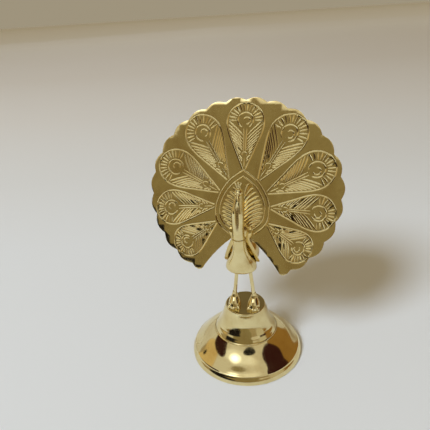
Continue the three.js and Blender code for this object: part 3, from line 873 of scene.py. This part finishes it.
def feather_strokes():
    """Every stroke of one feather, as its half width and its points out and across."""
    strokes = []
    side = softened(FEATHER_SIDE[:-1], 2)
    whole = side + [(FEATHER_SIDE[-1][0], 0)] + [(a, -b) for a, b in side[::-1]]
    strokes.append((OUTLINE_STROKE, whole))
    strokes.append((OUTLINE_STROKE, arc(EYE_OUT, 0, EYE_RADIUS, -152, 152, 26)))
    strokes.append((OUTLINE_STROKE, arc(EYE_OUT - 0.3, 0.7, 1.9, -70, 190, 14)))
    strokes.append((LOOP_STROKE, arc(LOOP_OUT, 0, LOOP_RADIUS, -130, 130, 10)))
    strokes.append((ROOT_STROKE, [(20.4 + i * 1.6, 0) for i in range(4)]))
    for way in (-1, 1):
        quill = [(28.8 + i * 2.1, way * (0.5 + 0.01 * i * i)) for i in range(7)]
        strokes.append((QUILL_STROKE, quill))
        out = BARBS[0]
        while out < BARBS[1]:
            reach = half_breadth(out) - OUTLINE_GAP
            if reach > 1.5:
                begin = out - BARB_LEAN * (reach - 0.9)
                barb = []
                for t in (0, 0.25, 0.5, 0.75, 1):
                    x = begin + (out - begin) * t ** 0.9
                    y = way * (QUILL_GAP + (reach - QUILL_GAP) * t)
                    off_eye = math.hypot(x - EYE_OUT, y) > EYE_RADIUS + 0.95
                    if off_eye and math.hypot(x - LOOP_OUT, y) > LOOP_CLEAR:
                        barb.append((x, y))
                if len(barb) > 1:
                    strokes.append((BARB_STROKE, barb))
            out += BARB_STEP
    for degrees in range(-91, 92, RAY_STEP):
        turn = math.radians(degrees)
        reach = RAY_START
        while abs(reach * math.sin(turn)) < half_breadth(EYE_OUT + reach * math.cos(turn)) - 0.75:
            reach += 0.1
        if reach > RAY_START + 0.8:
            middle = (RAY_START + reach) / 2
            ends = (RAY_START, middle, reach)
            ray = [(EYE_OUT + far * math.cos(turn), far * math.sin(turn)) for far in ends]
            strokes.append((BARB_STROKE, ray))
    return strokes


def graver(name, strokes, flatness):
    """What the chasing tool presses away: a flattened four-sided bar for each stroke, thin at its ends."""
    drawn = bpy.data.curves.new(name, "CURVE")
    drawn.dimensions = "3D"
    drawn.twist_mode = "Z_UP"
    drawn.bevel_depth = MM
    drawn.bevel_resolution = 0
    drawn.use_fill_caps = True
    for half_width, line in strokes:
        spline = drawn.splines.new("POLY")
        last = len(line) - 1
        spline.points.add(last)
        for i, (point, place) in enumerate(zip(spline.points, line)):
            point.co = (place.x * MM, place.y * MM, (SHEET / 2 + TOOL_LIFT) * MM, 1)
            point.radius = half_width if 0 < i < last else half_width * THIN_END
    tool = bpy.data.objects.new(name, drawn)
    bpy.context.scene.collection.objects.link(tool)
    take_up(tool)
    bpy.ops.object.convert(target="MESH")
    tool = bpy.context.object
    bpy.ops.object.mode_set(mode="EDIT")
    bpy.ops.mesh.select_all(action="SELECT")
    bpy.ops.mesh.remove_doubles(threshold=0.002 * MM)
    bpy.ops.transform.resize(value=(1, 1, flatness), center_override=(0, 0, SHEET / 2 * MM))
    bpy.ops.mesh.normals_make_consistent(inside=False)
    bpy.ops.object.mode_set(mode="OBJECT")
    return tool


one_feather = feather_strokes()
for number in range(len(FEATHERS)):
    for side in (-1, 1) if number else (1,):
        placed = []
        for half_width, line in one_feather:
            placed.append((half_width, [feather_point(number, side, out, across) for out, across in line]))
        cut_with(tail, "DIFFERENCE", graver("feather", placed, FEATHER_TOOL))


def spade_line(share, drop=0):
    """The leaf-shaped outline of the middle, drawn in towards its own middle by a share."""
    side = softened(SPADE, 2)
    line = [Vector((x * share, SPADE_MIDDLE + (y - SPADE_MIDDLE) * share + drop, 0)) for x, y in side]
    return mirrored(line)[:0:-1] + line


def spade_half_width(height, share):
    """Half the width of the leaf's outline at a height on the sheet."""
    best = 0
    line = spade_line(share)
    for a, b in zip(line, line[1:]):
        if (a.y - height) * (b.y - height) <= 0 and a.y != b.y:
            best = max(best, abs(a.x + (b.x - a.x) * (height - a.y) / (b.y - a.y)))
    return best


middle_strokes = [(SPADE_STROKES[0], spade_line(1)), (SPADE_STROKES[1], spade_line(0.84, 0.2))]
for side in (-1, 1):
    for i in range(RIBS):
        low = RIB_LOW + i * RIB_STEP
        begin = Vector((side * RIB_ASIDE, low, 0))
        end_height = low + 4.2 + 2.6 * i / RIBS
        wide = spade_half_width(end_height, RIB_REACH)
        if wide < 2.6:
            continue
        end = Vector((side * wide, end_height, 0))
        pull = Vector((side * (RIB_ASIDE + wide) * 0.42, low + (end_height - low) * 0.72, 0))
        middle_strokes.append((RIB_STROKE, [begin] + bent(begin, pull, end, 7)))
cut_with(tail, "DIFFERENCE", graver("middle", middle_strokes, MIDDLE_TOOL))

take_up(tail)
bpy.ops.object.mode_set(mode="EDIT")
bpy.ops.mesh.select_all(action="SELECT")
bpy.ops.transform.rotate(value=-(math.pi / 2 - TAIL_LEAN), orient_axis="X", center_override=(0, 0, 0))
bpy.ops.transform.translate(value=Vector(TAIL_SCREW) * MM)
bpy.ops.object.mode_set(mode="OBJECT")
SHEET_BRASS = (0.84, 0.70, 0.35, 1)
SHEET_DULL = (0.60, 0.44, 0.17, 1)
# The dark brown of the painted shade in the chased lines.
GROOVE_PAINTED_SHADE = (0.08, 0.045, 0.02, 1)
tail_brass = brass(
    "chased_sheet_brass", SHEET_BRASS, SHEET_DULL,
    gloss=0.08, dullest=0.17, tarnish_size=16, scratch_size=0.6, bump=0.2,
)


def paint_shade_in_grooves(material):
    """Painted shade: the chased lines are painted dark brown below the front of the sheet."""
    nodes = material.node_tree.nodes
    front = Vector((0, -math.cos(TAIL_LEAN), math.sin(TAIL_LEAN)))
    surface = front.dot(Vector(TAIL_SCREW) * MM) + SHEET / 2 * MM
    along = nodes.new("ShaderNodeVectorMath")
    along.operation = "DOT_PRODUCT"
    along.inputs[1].default_value = front
    link(material, nodes["Texture Coordinate"].outputs["Object"], along.inputs[0])
    depth = nodes.new("ShaderNodeMapRange")
    depth.inputs["From Min"].default_value = surface
    depth.inputs["From Max"].default_value = surface - SHEET * MM
    link(material, along.outputs["Value"], depth.inputs["Value"])
    dark = nodes.new("ShaderNodeValToRGB")
    dark.color_ramp.elements[0].position = 0.1
    dark.color_ramp.elements[0].color = (0, 0, 0, 1)
    dark.color_ramp.elements[1].position = 0.28
    dark.color_ramp.elements[1].color = (1, 1, 1, 1)
    dark.color_ramp.elements.new(0.8).color = (1, 1, 1, 1)
    dark.color_ramp.elements.new(0.95).color = (0, 0, 0, 1)
    link(material, depth.outputs["Result"], dark.inputs["Fac"])
    paint_shade(material, dark.outputs["Color"], GROOVE_PAINTED_SHADE)


# The sheet's metal gets the painted shade in its chased lines.
paint_shade_in_grooves(tail_brass)
smooth(tail, 20)
finished(tail, tail_brass, "tail_sheet_brass", "tail_fan")


# --- The tail's washer and slotted screw: plain turned brass, behind the sheet. ---
# The screw runs through the washer and the sheet into the body's hump, and clamps the sheet against it.
leave_plain("tail_washer", "tail_screw")


# --- The table top: a plain pale surface. ---
# Its colour is painted a little darker and warmer with distance, a painted shade, and is painted pale again
# far off, as painted light where the room's far light falls.
TABLE_PAINTED_SHADE = (
    (0.15, (0.80, 0.80, 0.785, 1)),
    (0.35, (0.77, 0.755, 0.72, 1)),
    (0.75, (0.77, 0.73, 0.67, 1)),
    (1.5, (0.78, 0.73, 0.66, 1)),
    (4.0, (0.97, 0.97, 0.96, 1)),
)
# The painted shade deepens along this direction, turned so that the right side is painted a little lighter.
AWAY = (-0.3, 0.95, 0)
put_down_everything()
bpy.ops.mesh.primitive_plane_add(size=60)
floor = bpy.context.object
floor.name = "pale_table"
pale = bpy.data.materials.new("pale_table")
pale.use_nodes = True
floor_nodes = pale.node_tree.nodes
floor_nodes["Principled BSDF"].inputs["Roughness"].default_value = 0.6
floor_nodes["Principled BSDF"].inputs["Specular IOR Level"].default_value = 0.2
away = floor_nodes.new("ShaderNodeVectorMath")
away.operation = "DOT_PRODUCT"
away.inputs[1].default_value = AWAY
link(pale, floor_nodes.new("ShaderNodeTexCoord").outputs["Object"], away.inputs[0])
floor_far = floor_nodes.new("ShaderNodeMapRange")
floor_far.inputs["From Max"].default_value = TABLE_PAINTED_SHADE[-1][0]
link(pale, away.outputs["Value"], floor_far.inputs["Value"])
floor_shade = floor_nodes.new("ShaderNodeValToRGB")
steps = floor_shade.color_ramp.elements
steps[0].color = TABLE_PAINTED_SHADE[0][1]
steps[1].color = TABLE_PAINTED_SHADE[-1][1]
for far, colour in TABLE_PAINTED_SHADE[:-1]:
    steps.new(far / TABLE_PAINTED_SHADE[-1][0]).color = colour
link(pale, floor_far.outputs["Result"], floor_shade.inputs["Fac"])
link(pale, floor_shade.outputs["Color"], floor_nodes["Principled BSDF"].inputs["Base Color"])
floor.data.materials.append(pale)


# --- The light: one soft round lamp above the front left, and the dim warm light of the room. ---
# The room is seen only in the polished brass, as soft glowing patches far outside.
# The lamp itself does not show in the brass: the patch called window stands for it.
LAMP_AIM = (-34, 45)
LAMP_FAR = 3.4
LAMP_SIZE = 1.1
LAMP_POWER = 100
ROOM_LIGHT = (0.345, 0.28, 0.175)
BEHIND = (0.345, 0.295, 0.205)


def towards(degrees_round, degrees_up):
    """A direction by its angle round from straight ahead of the bird, towards its left, and its angle up."""
    a, e = math.radians(degrees_round), math.radians(degrees_up)
    return Vector((math.sin(a) * math.cos(e), -math.cos(a) * math.cos(e), math.sin(e)))


lamp_way = towards(*LAMP_AIM)
bpy.ops.object.light_add(type="AREA", location=lamp_way * LAMP_FAR)
lamp = bpy.context.object
lamp.name = "soft_window"
lamp.rotation_euler = lamp_way.to_track_quat("Z", "Y").to_euler()
lamp.data.shape = "DISK"
lamp.data.size = LAMP_SIZE
lamp.data.energy = LAMP_POWER
lamp.data.color = (0.72, 0.84, 1.0)
lamp.visible_glossy = False

room = bpy.data.worlds.new("room")
bpy.context.scene.world = room
room.use_nodes = True
room_nodes = room.node_tree.nodes
background = room_nodes["Background"]
seen = room_nodes.new("ShaderNodeLightPath")
either = room_nodes.new("ShaderNodeMix")
either.data_type = "RGBA"
either.inputs[6].default_value = (*ROOM_LIGHT, 1)
either.inputs[7].default_value = (*BEHIND, 1)
link(room, seen.outputs["Is Camera Ray"], either.inputs["Factor"])
link(room, either.outputs[2], background.inputs["Color"])


def only_in_brass(piece):
    """The piece shows in reflections, and neither lights nor shades the table."""
    piece.visible_camera = False
    piece.visible_diffuse = False
    piece.visible_shadow = False
    piece.visible_transmission = False


def glow(name, colour, soft_from):
    made = bpy.data.materials.new(name)
    made.use_nodes = True
    nodes = made.node_tree.nodes
    nodes.remove(nodes["Principled BSDF"])
    light = nodes.new("ShaderNodeEmission")
    light.inputs["Color"].default_value = (*colour, 1)
    clear = nodes.new("ShaderNodeBsdfTransparent")
    from_middle = nodes.new("ShaderNodeVectorMath")
    from_middle.operation = "LENGTH"
    link(made, nodes.new("ShaderNodeTexCoord").outputs["Object"], from_middle.inputs[0])
    fade = nodes.new("ShaderNodeMapRange")
    fade.interpolation_type = "SMOOTHSTEP"
    fade.inputs["From Min"].default_value = soft_from
    fade.inputs["From Max"].default_value = 1
    link(made, from_middle.outputs["Value"], fade.inputs["Value"])
    both = nodes.new("ShaderNodeMixShader")
    link(made, fade.outputs["Result"], both.inputs["Fac"])
    link(made, light.outputs["Emission"], both.inputs[1])
    link(made, clear.outputs["BSDF"], both.inputs[2])
    link(made, both.outputs["Shader"], nodes["Material Output"].inputs["Surface"])
    return made


# Each patch of the room: its angle round, its angle up, its width and height in degrees, how far off it is,
# how far from its middle it starts to fade, and its colour.
PATCHES = (
    ("ceiling", 0, 90, 150, 150, 6, 0.85, (0.60, 0.57, 0.50)),
    ("lit_wall", -14, 55, 84, 32, 5.75, 0.5, (0.86, 0.85, 0.80)),
    ("window", -26, 50, 30, 26, 5.62, 0.0, (3.0, 3.1, 3.2)),
    ("pale_wall_left", -138, 12, 70, 56, 5.5, 0.9, (0.58, 0.57, 0.55)),
    ("lit_shelf_left", -86, 22, 44, 32, 5.25, 0.8, (0.62, 0.48, 0.25)),
    ("dark_sleeve_left", -88, 44, 54, 24, 5, 0.88, (0.035, 0.012, 0.010)),
    ("dark_knob_left", -92, 10, 9, 8, 5, 0.8, (0.01, 0.01, 0.01)),
    ("dark_cloth_low", -38, 8, 56, 18, 4.75, 0.85, (0.012, 0.010, 0.010)),
    ("olive_wall_front", -5, 18.5, 72, 43, 5.5, 0.94, (0.25, 0.205, 0.11)),
    ("lit_wall_right_low", 66, 8, 40, 26, 5.38, 0.6, (0.50, 0.46, 0.36)),
    ("dim_wall_above_back", 180, 44, 110, 46, 5.5, 0.8, (0.15, 0.12, 0.07)),
    ("dark_lamp_above", 21, 67, 24, 13, 5, 0.85, (0.01, 0.01, 0.01)),
    ("brown_wall_right", 114, 24, 84, 62, 5.75, 0.93, (0.27, 0.15, 0.04)),
    ("dark_door_right", 80, 36, 42, 46, 5.25, 0.93, (0.035, 0.010, 0.010)),
    ("pale_wall_back", 175, 14, 56, 44, 6, 0.9, (0.50, 0.48, 0.44)),
)
for name, around, up, wide, high, far, soft_from, colour in PATCHES:
    way = towards(around, up)
    bpy.ops.mesh.primitive_circle_add(vertices=48, radius=1, fill_type="NGON", location=way * far)
    patch = bpy.context.object
    patch.name = name
    patch.rotation_euler = way.to_track_quat("Z", "Y").to_euler()
    patch.scale = (far * math.tan(math.radians(wide / 2)), far * math.tan(math.radians(high / 2)), 1)
    patch.data.materials.append(glow(name, colour, soft_from))
    only_in_brass(patch)


bpy.context.scene.view_settings.view_transform = "Standard"
